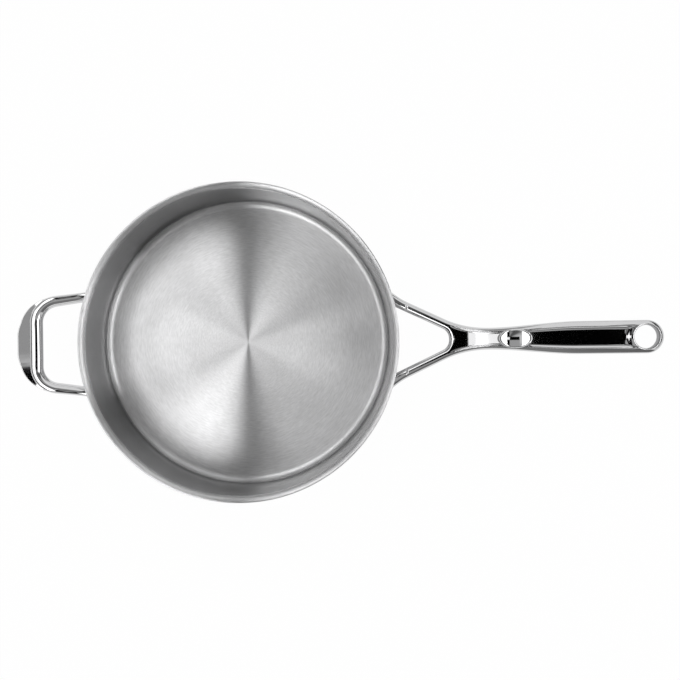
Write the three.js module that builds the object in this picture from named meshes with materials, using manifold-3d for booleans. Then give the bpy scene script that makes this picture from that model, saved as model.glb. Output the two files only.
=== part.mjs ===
// A 28 cm saute pan: a deep-drawn steel vessel on a sealed layered base, a cast fork handle with a lid rest,
// and a cast helper handle. Both handles are welded to the wall, so nothing on the pan moves.
// Millimetres, +Z up. The origin is the middle of the underside, and the long handle points along +X.
import * as THREE from "three";
import { mergeVertices } from "three/addons/utils/BufferGeometryUtils.js";
import Module from "manifold-3d";

const wasm = await Module();
wasm.setup();

// Vessel: one sheet, drawn to a straight wall with a flared pouring lip.
const INNER_RADIUS = 140;
const INNER_DEPTH = 75;
const SHEET = 1.5;
const FLOOR_FILLET = 7;
const LIP_BEND = 5.8;
const LIP_SWEEP = THREE.MathUtils.degToRad(78);

// Sealed base: a cap holds the induction plate and the copper disc against the vessel.
// A bond foil lies on each side of the copper.
const CAP_INSET = 2;
const CAP_SHEET = 1;
const CAP_CORNER = 4;
const INDUCTION_PLATE = 0.8;
const BOND_FOIL = 0.2;
const COPPER_DISC = 2.4;
const DISC_EDGE_CLEARANCE = 0.5;
const SEAM_HEIGHT = 1.6;

// Long handle, seen from above: two legs run in to a neck, which widens to a grip with a hanging eye.
const FOOT_OFFSET = 38.3;
const FORK_REACH = 74.3;
const LEG_WIDTH = 8.6;
const FOOT_RUN = 18;
const FOOT_FLARE_OUT = 9;
const FOOT_FLARE_IN = 2;
const CROTCH_REACH = 50;
const FORK_BLEND = 20;
const NECK_WIDTH = 19.6;
const NECK_REACH = 84.5;
const GRIP_WIDTH = 28.8;
const GRIP_REACH = 160;
const EYE_REACH = 215;
const EYE_RADIUS = 10.2;

// Long handle, seen from the side and in section: bevelled rails beside a trough, over a full belly.
// Each slope is a reach from the wall, and the rise per millimetre there.
const FOOT_HEIGHT = 66;
const HANDLE_SLOPES = [
  [0, 0.087], [48.5, 0.158], [73.5, 0.321], [93.5, 0.317], [128.5, 0.279], [203.5, 0.119], [229.4, 0.07],
];
const EDGE_HALF = 1.2;
const RAIL_CROWN = 4;
const RAIL_WIDTH = 4.6;
const RAIL_ROUNDNESS = 0.5;
const TROUGH_DEPTH = 2;
const TROUGH_SIDE = 3;
const TROUGH_RUN_IN = 25;
const TROUGH_RUN_OUT = 8;
const EYE_COLLAR = 1.2;
const EYE_ROUND = 1.4;
const BELLY = 6.4;
const BELLY_ROUND = 12;

// Lid rest: an oval stud on the neck, which stops a lid that leans on the handle.
const REST_REACH = 106;
const REST_LENGTH = 30;
const REST_WIDTH = 17.6;
const REST_HEIGHT = 8.5;
const REST_SHOULDER = 2.2;
const REST_CROWN = 0.5;
const REST_ARCH = 2.6;
const REST_TILT = THREE.MathUtils.degToRad(6);
const REST_ROOT = 6;

// Helper handle: a round bar bent to a loop, with a flat thumb crescent along its outer side.
const HELPER_OFFSET = 44.8;
const HELPER_REACH = 44.1;
const HELPER_LEAN = THREE.MathUtils.degToRad(8.5);
const HELPER_BEND = 20;
const HELPER_FOOT_HEIGHT = 63;
const HELPER_RISE = 9;
const BAR_WIDTH = 10.4;
const BAR_LEG_WIDTH = 8;
const BAR_HEIGHT = 9;
const BAR_LEAN = 0.35;
const CRESCENT_REACH = 12;
const CRESCENT_FULL = 8;
const CRESCENT_END = 44.5;
const CRESCENT_SHEET = 3;
const CRESCENT_DROP = 1.2;

// Welds: a fillet round each foot, and clearances between pieces that are joined.
const WELD_LEG = 2.2;
const WELD_GAP = 0.3;
const SEAM_GAP = 0.2;

// Facets of round shapes.
const TURNS = 64;
const ARC_STEPS = 3;

// Levels and radii that follow from the sizes above.
const OUTER_RADIUS = INNER_RADIUS + SHEET;
const PLATE_LEVEL = CAP_SHEET;
const LOWER_FOIL_LEVEL = PLATE_LEVEL + INDUCTION_PLATE;
const COPPER_LEVEL = LOWER_FOIL_LEVEL + BOND_FOIL;
const UPPER_FOIL_LEVEL = COPPER_LEVEL + COPPER_DISC;
const VESSEL_UNDERSIDE = UPPER_FOIL_LEVEL + BOND_FOIL;
const FLOOR_LEVEL = VESSEL_UNDERSIDE + SHEET;
const RIM_LEVEL = FLOOR_LEVEL + INNER_DEPTH;
const CAP_RADIUS = INNER_RADIUS - CAP_INSET;
const FILLET_RADIUS = INNER_RADIUS - FLOOR_FILLET;
const FILLET_LEVEL = FLOOR_LEVEL + FLOOR_FILLET;
const DISC_RADIUS = CAP_RADIUS - CAP_CORNER - DISC_EDGE_CLEARANCE;
const FOOT_RADIUS = OUTER_RADIUS + WELD_GAP;
const EYE_X = OUTER_RADIUS + EYE_REACH;

const { smoothstep } = THREE.MathUtils;
const point = (x, y) => new THREE.Vector2(x, y);
const range = (count) => Array.from({ length: count }, (_, i) => i);

// Materials.
const metal = (color, roughness) => new THREE.MeshStandardMaterial({ color, roughness, metalness: 1 });
const brushedSteel = metal(0xb9babb, 0.35);
const polishedSteel = metal(0xc9cacc, 0.1);
const weldSteel = metal(0xa9aaac, 0.3);
const magneticSteel = metal(0x9fa0a2, 0.4);
const copper = metal(0xb87350, 0.35);
const silver = metal(0xd5d3cd, 0.3);

const pan = new THREE.Group();
function addPiece(name, geometry, material) {
  const mesh = new THREE.Mesh(geometry, material);
  mesh.name = name;
  pan.add(mesh);
  return mesh;
}

// Turns a profile, drawn as radius and height, about the Z axis.
function turned(profile) {
  return new THREE.LatheGeometry(profile.getPoints(ARC_STEPS), TURNS).rotateX(Math.PI / 2);
}

// Welds the corners of a triangle list, so that the surface is closed.
function closedSurface(triangles) {
  const geometry = new THREE.BufferGeometry().setFromPoints(triangles.flat());
  return mergeVertices(geometry, 1e-4);
}

// The two triangles of a four-cornered face.
const quad = (a, b, c, d) => [[a, b, c], [a, c, d]];

// A skin through rings of points. A looped skin returns to its first ring.
// Any other skin has a fan at each end.
function skin(rings, looped = false) {
  const triangles = [];
  const sides = rings[0].length;
  const spans = looped ? rings.length : rings.length - 1;
  for (const i of range(spans)) {
    const near = rings[i];
    const far = rings[(i + 1) % rings.length];
    for (const k of range(sides)) {
      const next = (k + 1) % sides;
      triangles.push(...quad(near[k], near[next], far[next], far[k]));
    }
  }
  if (!looped) {
    const last = rings.length - 1;
    for (const k of range(sides)) {
      const next = (k + 1) % sides;
      triangles.push([middleOf(rings[0]), rings[0][next], rings[0][k]]);
      triangles.push([middleOf(rings[last]), rings[last][k], rings[last][next]]);
    }
  }
  return closedSurface(triangles);
}

function middleOf(ring) {
  return ring.reduce((sum, p) => sum.add(p), new THREE.Vector3()).divideScalar(ring.length);
}

// A geometry as a solid that can be cut, and back again.
function solidOf(geometry) {
  const bare = new THREE.BufferGeometry().setAttribute("position", geometry.getAttribute("position"));
  if (geometry.index) bare.setIndex(geometry.index);
  const merged = mergeVertices(bare, 1e-4);
  const vertProperties = merged.getAttribute("position").array;
  const triVerts = new Uint32Array(merged.index.array);
  return new wasm.Manifold(new wasm.Mesh({ numProp: 3, vertProperties, triVerts }));
}

function geometryOf(solid) {
  const mesh = solid.getMesh();
  return new THREE.BufferGeometry()
    .setAttribute("position", new THREE.BufferAttribute(mesh.vertProperties, 3))
    .setIndex(new THREE.BufferAttribute(mesh.triVerts, 1));
}

// Vessel.
function vesselProfile() {
  const lipMiddle = LIP_BEND - SHEET / 2;
  const lipLevel = RIM_LEVEL - lipMiddle * Math.sin(LIP_SWEEP) - SHEET / 2;
  const bendX = INNER_RADIUS + LIP_BEND;
  const edgeX = bendX - lipMiddle * Math.cos(LIP_SWEEP);
  const edgeZ = lipLevel + lipMiddle * Math.sin(LIP_SWEEP);
  return new THREE.Path()
    .moveTo(0, VESSEL_UNDERSIDE)
    .lineTo(FILLET_RADIUS, VESSEL_UNDERSIDE)
    .absarc(FILLET_RADIUS, FILLET_LEVEL, FLOOR_FILLET + SHEET, -Math.PI / 2, 0, false)
    .lineTo(OUTER_RADIUS, lipLevel)
    .absarc(bendX, lipLevel, LIP_BEND - SHEET, Math.PI, Math.PI - LIP_SWEEP, true)
    .absarc(edgeX, edgeZ, SHEET / 2, -LIP_SWEEP, Math.PI - LIP_SWEEP, false)
    .absarc(bendX, lipLevel, LIP_BEND, Math.PI - LIP_SWEEP, Math.PI, false)
    .lineTo(INNER_RADIUS, FILLET_LEVEL)
    .absarc(FILLET_RADIUS, FILLET_LEVEL, FLOOR_FILLET, 0, -Math.PI / 2, true)
    .lineTo(0, FLOOR_LEVEL);
}

// Sealed base.
// Height of the vessel's outside fillet at a radius, lowered by a clearance measured square to the sheet.
function filletHeight(radius, clearance) {
  const reach = FLOOR_FILLET + SHEET + clearance;
  return FILLET_LEVEL - Math.sqrt(reach ** 2 - (radius - FILLET_RADIUS) ** 2);
}

const CAP_INNER_RADIUS = CAP_RADIUS - CAP_SHEET;
const CAP_TOP = filletHeight(CAP_INNER_RADIUS, SEAM_GAP);

function capProfile() {
  const cornerX = CAP_RADIUS - CAP_CORNER;
  return new THREE.Path()
    .moveTo(0, 0)
    .lineTo(cornerX, 0)
    .absarc(cornerX, CAP_CORNER, CAP_CORNER, -Math.PI / 2, 0, false)
    .lineTo(CAP_RADIUS, CAP_TOP)
    .lineTo(CAP_INNER_RADIUS, CAP_TOP)
    .lineTo(CAP_INNER_RADIUS, CAP_CORNER)
    .absarc(cornerX, CAP_CORNER, CAP_CORNER - CAP_SHEET, 0, -Math.PI / 2, true)
    .lineTo(0, CAP_SHEET);
}

// The seam bead lies in the nook between the cap's edge and the vessel's outside fillet.
function seamProfile() {
  const reach = FLOOR_FILLET + SHEET + SEAM_GAP;
  const foot = CAP_TOP + SEAM_GAP;
  const crown = CAP_TOP + SEAM_HEIGHT;
  const low = Math.asin((foot - FILLET_LEVEL) / reach);
  const high = Math.asin((crown - FILLET_LEVEL) / reach);
  return new THREE.Path()
    .moveTo(FILLET_RADIUS + reach * Math.cos(low), foot)
    .lineTo(CAP_RADIUS, foot)
    .lineTo(FILLET_RADIUS + reach * Math.cos(high), crown)
    .absarc(FILLET_RADIUS, FILLET_LEVEL, reach, high, low, true);
}

function disc(level, thickness) {
  const profile = new THREE.Path()
    .moveTo(0, level)
    .lineTo(DISC_RADIUS, level)
    .lineTo(DISC_RADIUS, level + thickness)
    .lineTo(0, level + thickness);
  return turned(profile);
}

addPiece("vessel", turned(vesselProfile()), brushedSteel);
addPiece("upper_bond_foil", disc(UPPER_FOIL_LEVEL, BOND_FOIL), silver);
addPiece("copper_disc", disc(COPPER_LEVEL, COPPER_DISC), copper);
addPiece("lower_bond_foil", disc(LOWER_FOIL_LEVEL, BOND_FOIL), silver);
addPiece("induction_plate", disc(PLATE_LEVEL, INDUCTION_PLATE), magneticSteel);
addPiece("base_cap", turned(capProfile()), magneticSteel);
addPiece("base_seam_weld", turned(seamProfile()), weldSteel);

// Long handle, plan: the outline of one half, from the wall to the tip.
// Its inner points follow the leg's inner edge, then the centre line, then the hanging eye.
const onWall = (y, radius) => point(Math.sqrt(radius ** 2 - y ** 2), y);
const legStart = onWall(FOOT_OFFSET, FOOT_RADIUS);
const legDirection = point(OUTER_RADIUS + FORK_REACH, 0).sub(legStart).normalize();
const legSide = point(-legDirection.y, legDirection.x);
const alongLeg = (distance, side) =>
  legStart.clone().addScaledVector(legDirection, distance).addScaledVector(legSide, (side * LEG_WIDTH) / 2);

// Where the leg's edge on that side crosses a given value of x or of y.
function legEdgeAt(axis, value, side) {
  const start = alongLeg(0, side);
  return start.clone().addScaledVector(legDirection, (value - start[axis]) / legDirection[axis]);
}

const crotch = point(OUTER_RADIUS + CROTCH_REACH, 0);
const crotchCorner = legEdgeAt("x", crotch.x, -1);
const crotchStart = crotchCorner.clone().addScaledVector(legDirection, -crotchCorner.y);
const neckCorner = legEdgeAt("y", NECK_WIDTH / 2, 1);
const neckStart = neckCorner.clone().addScaledVector(legDirection, -FORK_BLEND);
const neckEnd = point(OUTER_RADIUS + NECK_REACH, NECK_WIDTH / 2);
const legCurve = (...corners) => new THREE.QuadraticBezierCurve(...corners);

// The foot's edge leaves the leg's straight edge and flares along the wall.
function footCurve(side, flare) {
  const end = onWall(alongLeg(0, side).y + side * flare, FOOT_RADIUS);
  return legCurve(end, alongLeg(FOOT_RUN / 3, side), alongLeg(FOOT_RUN, side));
}

function gripHalfWidth(x) {
  const share = smoothstep(x, OUTER_RADIUS + NECK_REACH, OUTER_RADIUS + GRIP_REACH);
  return (NECK_WIDTH + (GRIP_WIDTH - NECK_WIDTH) * share) / 2;
}

// The point of a curve at a distance from the pan's axis, found by halving.
function atRadius(curve, radius) {
  let low = 0;
  let high = 1;
  for (let step = 0; step < 40; step++) {
    const middle = (low + high) / 2;
    if (curve.getPoint(middle).length() < radius) low = middle;
    else high = middle;
  }
  return curve.getPoint(low);
}

const FOOT_STEPS = 3;
const LEG_STEPS = 5;
const CROTCH_STEPS = 6;
const NECK_STEPS = 5;
const GRIP_STEPS = 14;
const EYE_STEPS = 14;

// Lines across the half, each with how far its section has changed from a leg's to the grip's.
// The lines at the foot are rounds about the pan's axis, so that the foot's end fits the wall.
const ON_LEG = { gripShare: 0, freeEdge: true };
function handleStations() {
  const stations = [];
  const add = (inner, outer, gripShare, freeEdge) => stations.push({ inner, outer, gripShare, freeEdge });
  const footInner = footCurve(-1, FOOT_FLARE_IN);
  const footOuter = footCurve(1, FOOT_FLARE_OUT);
  const addRound = (radius) => {
    const [inner, outer] = [footInner, footOuter].map((curve) => atRadius(curve, radius));
    stations.push({ inner, outer, radius, ...ON_LEG });
  };
  addRound(FOOT_RADIUS);
  for (const i of range(FOOT_STEPS)) {
    addRound(FOOT_RADIUS + THREE.MathUtils.lerp(WELD_LEG, FOOT_RUN * legDirection.x, i / FOOT_STEPS));
  }
  add(footInner.getPoint(1), footOuter.getPoint(1), 0, true);
  for (const i of range(LEG_STEPS)) {
    const t = (i + 1) / LEG_STEPS;
    add(alongLeg(FOOT_RUN, -1).lerp(crotchStart, t), alongLeg(FOOT_RUN, 1).lerp(neckStart, t), 0, true);
  }
  const crotchCurve = legCurve(crotchStart, crotchCorner, crotch);
  const neckCurve = legCurve(neckStart, neckCorner, neckEnd);
  for (const i of range(CROTCH_STEPS)) {
    const t = (i + 1) / CROTCH_STEPS;
    add(crotchCurve.getPoint(t), neckCurve.getPoint(t / 2), t / 2, t < 1);
  }
  for (const i of range(NECK_STEPS)) {
    const t = (i + 1) / NECK_STEPS;
    add(crotch.clone().lerp(point(neckEnd.x, 0), t), neckCurve.getPoint((1 + t) / 2), (1 + t) / 2, false);
  }
  const eyeNear = EYE_X - EYE_RADIUS;
  for (const i of range(GRIP_STEPS)) {
    const t = Math.sin(((i + 1) / GRIP_STEPS) * (Math.PI / 2));
    const x = THREE.MathUtils.lerp(neckEnd.x, eyeNear, t);
    add(point(x, 0), point(x, gripHalfWidth(x)), 1 - smoothstep(t, 0.8, 1), t === 1);
  }
  for (const i of range(EYE_STEPS)) {
    const angle = Math.PI * (1 - (i + 1) / EYE_STEPS);
    const inner = point(EYE_X + EYE_RADIUS * Math.cos(angle), EYE_RADIUS * Math.sin(angle));
    const beside = point(inner.x, GRIP_WIDTH / 2);
    const round = point(EYE_X + (GRIP_WIDTH / 2) * Math.cos(angle), (GRIP_WIDTH / 2) * Math.sin(angle));
    if (i === EYE_STEPS - 1) inner.y = round.y = 0;
    add(inner, angle > Math.PI / 2 ? beside : round, 0, true);
  }
  return stations;
}

// Long handle, section: heights above and below the middle line, by distance from the nearest edge.
const quarterRound = (distance, run) => Math.sqrt(1 - (1 - Math.min(distance / run, 1)) ** 2);

function handleMiddle(x) {
  let height = FOOT_HEIGHT;
  for (const i of range(HANDLE_SLOPES.length - 1)) {
    const [start, slope] = HANDLE_SLOPES[i];
    const [end, endSlope] = HANDLE_SLOPES[i + 1];
    const run = THREE.MathUtils.clamp(x - OUTER_RADIUS - start, 0, end - start);
    height += run * (slope + ((endSlope - slope) * run) / (end - start) / 2);
  }
  return height;
}

// How far the rails and the trough's sides narrow where the handle does.
const slimming = (x) => gripHalfWidth(x) / (GRIP_WIDTH / 2);

// The rails rise to the brink of the trough, which is dished and runs from the crotch to the eye's collar.
function handleTop({ x }, { outer, leg, eye }) {
  const railWidth = RAIL_WIDTH * slimming(x);
  const nearest = Math.min(outer, leg, (eye * railWidth) / EYE_ROUND);
  const bevel = Math.min(nearest / railWidth, 1);
  const crown = THREE.MathUtils.lerp(bevel, quarterRound(nearest, railWidth), RAIL_ROUNDNESS);
  const side = THREE.MathUtils.clamp((outer - railWidth) / (TROUGH_SIDE * slimming(x)), 0, 1);
  const run = THREE.MathUtils.clamp((x - crotch.x) / TROUGH_RUN_IN, 0, 1);
  const runOut = smoothstep(eye, EYE_COLLAR, EYE_COLLAR + TROUGH_RUN_OUT);
  const sink = (1 - (1 - side) ** 2) * (1 - (1 - run) ** 2) * runOut;
  return handleMiddle(x) + EDGE_HALF + (RAIL_CROWN - EDGE_HALF) * crown - TROUGH_DEPTH * sink;
}

function handleUnderside({ x }, { outer, leg, eye }) {
  const nearest = Math.min(outer, leg, (eye * BELLY_ROUND) / EYE_ROUND);
  return handleMiddle(x) - EDGE_HALF - (BELLY - EDGE_HALF) * quarterRound(nearest, BELLY_ROUND);
}

function distanceToLine(p, line) {
  let nearest = Infinity;
  const foot = new THREE.Vector2();
  for (const i of range(line.length - 1)) {
    const run = line[i + 1].clone().sub(line[i]);
    const along = p.clone().sub(line[i]).dot(run) / Math.max(run.lengthSq(), 1e-9);
    foot.copy(line[i]).addScaledVector(run, THREE.MathUtils.clamp(along, 0, 1));
    nearest = Math.min(nearest, foot.distanceTo(p));
  }
  return nearest;
}

// Shares of the way from the inner to the outer edge.
// On a leg they are alike at both edges, and on the grip the trough sets them.
const LEG_COLUMNS = [0, 0.08, 0.24, 0.5, 0.76, 0.92, 1];
const LAST_COLUMN = LEG_COLUMNS.length - 1;
function gripColumns(halfWidth) {
  const slim = Math.min(halfWidth / (GRIP_WIDTH / 2), 1);
  const brink = Math.max(1 - (RAIL_WIDTH * slim) / halfWidth, 0.3);
  const floor = Math.max(1 - ((RAIL_WIDTH + TROUGH_SIDE) * slim) / halfWidth, brink / 3);
  return [0, floor, (2 * floor + brink) / 3, (floor + 2 * brink) / 3, brink, (brink + 1) / 2, 1];
}

// The top and underside points of each line across one half of the handle.
function handleGrid(stations) {
  const outerLine = stations.map((s) => s.outer);
  const eyeStart = stations.length - EYE_STEPS - 1;
  const legLine = stations.filter((s, i) => i < eyeStart && s.freeEdge).map((s) => s.inner);
  const legEdge = [...legLine, crotch];
  const eyeLine = stations.slice(eyeStart).map((s) => s.inner);
  return stations.map(({ inner, outer, gripShare, radius }) =>
    LEG_COLUMNS.map((share, j) => {
      const gripColumn = gripColumns(inner.distanceTo(outer))[j];
      const p = inner.clone().lerp(outer, THREE.MathUtils.lerp(share, gripColumn, gripShare));
      if (radius) p.setLength(radius);
      const [outerGap, leg, eye] = [outerLine, legEdge, eyeLine].map((line) => distanceToLine(p, line));
      const gaps = { outer: outerGap, leg, eye };
      return {
        top: new THREE.Vector3(p.x, p.y, handleTop(p, gaps)),
        under: new THREE.Vector3(p.x, p.y, handleUnderside(p, gaps)),
      };
    }),
  );
}

const mirrored = ({ x, y, z }) => new THREE.Vector3(x, -y, z);
const mirroredTriangle = ([a, b, c]) => [mirrored(a), mirrored(c), mirrored(b)];

function handleSurface(grid, stations) {
  const half = [];
  for (const i of range(grid.length - 1)) {
    const near = grid[i];
    const far = grid[i + 1];
    for (const j of range(LAST_COLUMN)) {
      half.push(...quad(near[j].top, far[j].top, far[j + 1].top, near[j + 1].top));
      half.push(...quad(near[j].under, near[j + 1].under, far[j + 1].under, far[j].under));
    }
    const [nearEdge, farEdge] = [near[LAST_COLUMN], far[LAST_COLUMN]];
    half.push(...quad(nearEdge.under, nearEdge.top, farEdge.top, farEdge.under));
    if (stations[i].freeEdge) half.push(...quad(near[0].under, far[0].under, far[0].top, near[0].top));
  }
  const foot = grid[0];
  for (const j of range(LAST_COLUMN)) {
    half.push(...quad(foot[j].under, foot[j].top, foot[j + 1].top, foot[j + 1].under));
  }
  return closedSurface([...half, ...half.map(mirroredTriangle)]);
}

const stations = handleStations();
const grid = handleGrid(stations);
const handleGeometry = handleSurface(grid, stations);
addPiece("long_handle", handleGeometry, polishedSteel);

// Lid rest: a turned stud drawn out to an oval, whose root is cut to the trough that it is welded into.
function restGeometry() {
  const radius = REST_WIDTH / 2;
  const topRadius = radius - REST_SHOULDER;
  const shoulderLevel = REST_HEIGHT - REST_CROWN - REST_SHOULDER;
  const profile = new THREE.Path()
    .moveTo(0, -REST_ROOT)
    .lineTo(radius, -REST_ROOT)
    .lineTo(radius, shoulderLevel)
    .absarc(topRadius, shoulderLevel, REST_SHOULDER, 0, Math.PI / 2, false)
    .quadraticCurveTo(topRadius / 2, REST_HEIGHT, 0, REST_HEIGHT);
  const stud = new THREE.LatheGeometry(profile.getPoints(3), 32).rotateX(Math.PI / 2);
  const x = OUTER_RADIUS + REST_REACH;
  const places = stud.getAttribute("position");
  for (const i of range(places.count)) {
    const drop = REST_ARCH * (places.getX(i) / radius) ** 2;
    const share = Math.min((places.getZ(i) + REST_ROOT) / (shoulderLevel + REST_ROOT), 1);
    places.setZ(i, places.getZ(i) - drop * share);
  }
  stud.scale(REST_LENGTH / REST_WIDTH, 1, 1).rotateY(-REST_TILT);
  stud.translate(x, 0, handleMiddle(x) + RAIL_CROWN - TROUGH_DEPTH);
  const cutter = solidOf(handleGeometry.clone().translate(0, 0, WELD_GAP));
  const pieces = solidOf(stud).subtract(cutter).decompose();
  return geometryOf(pieces.sort((a, b) => b.boundingBox().max[2] - a.boundingBox().max[2])[0]);
}
addPiece("lid_rest", restGeometry(), polishedSteel);

// A weld fillet round a foot. The first ring is the foot's end on the wall.
// The second lies one weld leg along the foot.
function weldFillet(wallRing, legRing) {
  const center = middleOf(wallRing);
  const sides = wallRing.length;
  const rings = range(sides).map((k) => {
    const away = outwardOf(wallRing, k);
    const atWall = (distance) => {
      const p = wallRing[k].clone().addScaledVector(away, distance);
      const x = Math.sign(center.x) * Math.sqrt(FOOT_RADIUS ** 2 - p.y ** 2);
      return new THREE.Vector3(x, p.y, p.z);
    };
    const onLeg = legRing[k].clone().addScaledVector(outwardOf(legRing, k), WELD_GAP);
    const [root, toe] = [atWall(WELD_GAP), atWall(WELD_GAP + WELD_LEG)];
    return center.x > 0 ? [root, onLeg, toe] : [root, toe, onLeg];
  });
  return skin(rings, true);
}

// The direction square to a ring at one of its points, in the plane of Y and Z.
function outwardOf(ring, k) {
  const before = ring[(k + ring.length - 1) % ring.length];
  const after = ring[(k + 1) % ring.length];
  return new THREE.Vector3(0, after.z - before.z, before.y - after.y).normalize();
}

// The closed ring of a line across the handle: out along the underside and back along the top.
const handleRing = (row) => [...row.map((p) => p.under), ...row.map((p) => p.top).reverse()];
const mirroredRing = (ring) => ring.map(mirrored).reverse();
const footRings = [handleRing(grid[0]), handleRing(grid[1])];
addPiece("long_handle_weld_left", weldFillet(...footRings), weldSteel);
addPiece("long_handle_weld_right", weldFillet(...footRings.map(mirroredRing)), weldSteel);

// Helper handle: the bar's centre line from the middle of the loop to the wall.
const helperX = -(OUTER_RADIUS + HELPER_REACH);
const helperFoot = point(-onWall(HELPER_OFFSET, FOOT_RADIUS).x, HELPER_OFFSET);

function helperHalfPath() {
  const turn = Math.PI / 2 - HELPER_LEAN;
  const cornerY = HELPER_OFFSET - (helperFoot.x - helperX) * Math.tan(HELPER_LEAN);
  const arcY = cornerY - HELPER_BEND * Math.tan(turn / 2);
  return new THREE.Path()
    .moveTo(helperX, 0)
    .lineTo(helperX, arcY)
    .absarc(helperX + HELPER_BEND, arcY, HELPER_BEND, Math.PI, Math.PI - turn, true)
    .lineTo(helperFoot.x, helperFoot.y);
}

// The bar's section as outward and upward offsets, with the crescent drawn out of its outer side.
const UNDER_ANGLES = [-180, -150, -120, -90, -60];
const OVER_ANGLES = [60, 90, 120, 150];
function helperSection(distance, reach) {
  const crescent = CRESCENT_REACH * (1 - smoothstep(distance, CRESCENT_FULL, CRESCENT_END));
  const taper = smoothstep(distance, CRESCENT_FULL, reach);
  const halfWidth = THREE.MathUtils.lerp(BAR_WIDTH, BAR_LEG_WIDTH, taper) / 2;
  const halfHeight = BAR_HEIGHT / 2;
  const onBar = (degrees) => {
    const angle = THREE.MathUtils.degToRad(degrees);
    const height = halfHeight * Math.sin(angle);
    return [halfWidth * Math.cos(angle) + BAR_LEAN * height, height];
  };
  const over = CRESCENT_SHEET / 2 - CRESCENT_DROP;
  const under = over - CRESCENT_SHEET;
  const root = (height) => halfWidth * Math.sqrt(1 - (height / halfHeight) ** 2) + BAR_LEAN * height;
  const edge = halfWidth + crescent;
  const lip = [[root(under), under], [edge, under], [edge + CRESCENT_SHEET / 4, (over + under) / 2]];
  return [...UNDER_ANGLES.map(onBar), ...lip, [edge, over], [root(over), over], ...OVER_ANGLES.map(onBar)];
}

const HELPER_STEPS = 22;
function helperRings() {
  const path = helperHalfPath();
  const reach = path.getLength();
  const rings = range(HELPER_STEPS + 2).map((i) => {
    const distance = i <= HELPER_STEPS ? ((reach - WELD_LEG) * i) / HELPER_STEPS : reach;
    const middle = path.getPointAt(distance / reach);
    const tangent = path.getTangentAt(distance / reach);
    const rise = smoothstep(helperFoot.x - middle.x, 0, helperFoot.x - helperX);
    const height = HELPER_FOOT_HEIGHT + HELPER_RISE * rise;
    return helperSection(distance, reach).map(([outward, upward]) => {
      const p = middle.clone().addScaledVector(point(-tangent.y, tangent.x), outward);
      const x = i > HELPER_STEPS ? -onWall(p.y, FOOT_RADIUS).x : p.x;
      return new THREE.Vector3(x, p.y, height + upward);
    });
  });
  return rings;
}

const half = helperRings();
const otherHalf = half.slice(1).map((ring) => ring.map(mirrored));
addPiece("helper_handle", skin([...otherHalf.reverse(), ...half]), polishedSteel);
const helperFootRings = [half.at(-1), half.at(-2)];
addPiece("helper_weld_left", weldFillet(...helperFootRings), weldSteel);
addPiece("helper_weld_right", weldFillet(...helperFootRings.map(mirroredRing)), weldSteel);

export default pan;
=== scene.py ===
import math

import bpy
import numpy as np
from mathutils import Matrix


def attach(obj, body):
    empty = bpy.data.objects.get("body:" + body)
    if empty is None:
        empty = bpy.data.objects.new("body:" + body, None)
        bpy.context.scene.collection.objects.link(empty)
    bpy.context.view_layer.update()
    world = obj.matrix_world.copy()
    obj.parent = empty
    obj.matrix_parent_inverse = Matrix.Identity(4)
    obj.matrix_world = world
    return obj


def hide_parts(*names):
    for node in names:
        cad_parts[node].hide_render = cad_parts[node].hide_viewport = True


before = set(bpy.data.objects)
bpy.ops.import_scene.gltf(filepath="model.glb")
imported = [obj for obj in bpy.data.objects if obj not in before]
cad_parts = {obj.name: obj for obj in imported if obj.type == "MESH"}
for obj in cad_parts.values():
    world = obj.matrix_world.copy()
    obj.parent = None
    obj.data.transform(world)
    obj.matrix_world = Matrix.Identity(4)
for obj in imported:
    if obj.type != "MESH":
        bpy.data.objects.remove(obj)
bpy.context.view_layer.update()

# Vessel
# One sheet of stainless steel, deep drawn to a straight wall, with its rim rolled out to a pouring lip.
# It is brushed in rings on a lathe, inside and out. The long handle lies along +X.
INNER_RADIUS = 0.140
INNER_DEPTH = 0.075
SHEET = 0.0015
FLOOR_LEVEL = 0.0061
FLOOR_FILLET = 0.007
LIP_BEND = 0.0058
LIP_SWEEP = math.radians(78)
VESSEL_TURNS = 192
UNDERSIDE_STEPS, FILLET_STEPS, WALL_STEPS, LIP_STEPS, EDGE_STEPS, FLOOR_RINGS = 12, 16, 14, 12, 10, 30
STEEL = (0.62, 0.62, 0.625, 1)

OUTER_RADIUS = INNER_RADIUS + SHEET
RIM_LEVEL = FLOOR_LEVEL + INNER_DEPTH
FILLET_CENTRE = (INNER_RADIUS - FLOOR_FILLET, FLOOR_LEVEL + FLOOR_FILLET)
# Heights over which the wall's painted shade and its finer brushing set in above the fillet and end below the
# lip.
WALL_FROM_FILLET = (FLOOR_LEVEL + 0.003, FLOOR_LEVEL + FLOOR_FILLET)
WALL_TO_LIP = (RIM_LEVEL - 0.008, RIM_LEVEL - 0.003)


def arc(centre, radius, start, end, steps):
    """Points of a round from one angle to another, as radius and height."""
    angles = np.linspace(start, end, steps + 1)
    return [(centre[0] + radius * math.cos(a), centre[1] + radius * math.sin(a)) for a in angles]


def straight(start, end, steps):
    """Points of a straight run, without its two ends."""
    shares = np.linspace(0, 1, steps + 1)[1:-1]
    return [(start[0] + (end[0] - start[0]) * t, start[1] + (end[1] - start[1]) * t) for t in shares]


def link_to(socket, node, output=0):
    """Links a node's output to a socket of the same tree."""
    socket.id_data.links.new(node.outputs[output], socket)


MERGE_REACH = 1e-6


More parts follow.
